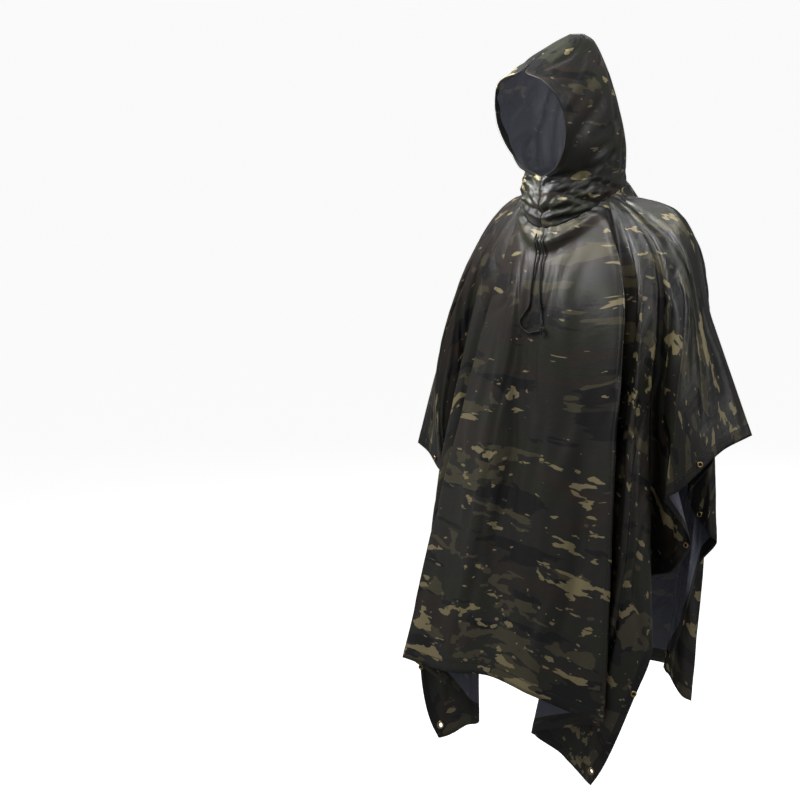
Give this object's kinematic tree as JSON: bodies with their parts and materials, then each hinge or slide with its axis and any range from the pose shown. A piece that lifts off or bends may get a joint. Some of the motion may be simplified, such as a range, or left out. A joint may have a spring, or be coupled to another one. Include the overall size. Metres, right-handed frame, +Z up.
{
  "type": "rain poncho",
  "caption": "Hooded rain poncho draped as worn with no wearer: a rectangle of coated cloth with corner points, side ring snaps, eyelets and a throat drawcord.",
  "frame": {"origin": "middle of the neck, at the height of the back neck seam, where the wearer's neck and shoulders hold the poncho", "axes": "+Z up, the longest extent; +X towards the wearer's left; -Y towards the front, with Y the shortest extent"},
  "size_m": [0.7905, 0.5305, 1.4427],
  "materials": {
    "front_cloth": "coated ripstop nylon, printed, satin sheen",
    "back_cloth": "coated ripstop nylon, printed, satin sheen",
    "hood_cloth": "coated ripstop nylon, printed, satin sheen",
    "drawcord": "braided polyester, matt",
    "brass": "pressed, dulled"
  },
  "bodies": {
    "root": {"body_front": "front_cloth", "body_back": "back_cloth", "hood_left": "hood_cloth", "hood_right": "hood_cloth", "cord_left": "drawcord", "cord_right": "drawcord", "cord_knot": "drawcord", "snap_front_left_1": "brass", "snap_front_left_2": "brass", "snap_front_left_3": "brass", "snap_front_left_4": "brass", "snap_back_left_1": "brass", "snap_back_left_2": "brass", "snap_back_left_3": "brass", "snap_back_left_4": "brass", "snap_front_right_1": "brass", "snap_front_right_2": "brass", "snap_front_right_3": "brass", "snap_front_right_4": "brass", "snap_back_right_1": "brass", "snap_back_right_2": "brass", "snap_back_right_3": "brass", "snap_back_right_4": "brass", "eyelet_front_left": "brass", "eyelet_back_left": "brass", "eyelet_front_right": "brass", "eyelet_back_right": "brass"}
  },
  "joints": []
}
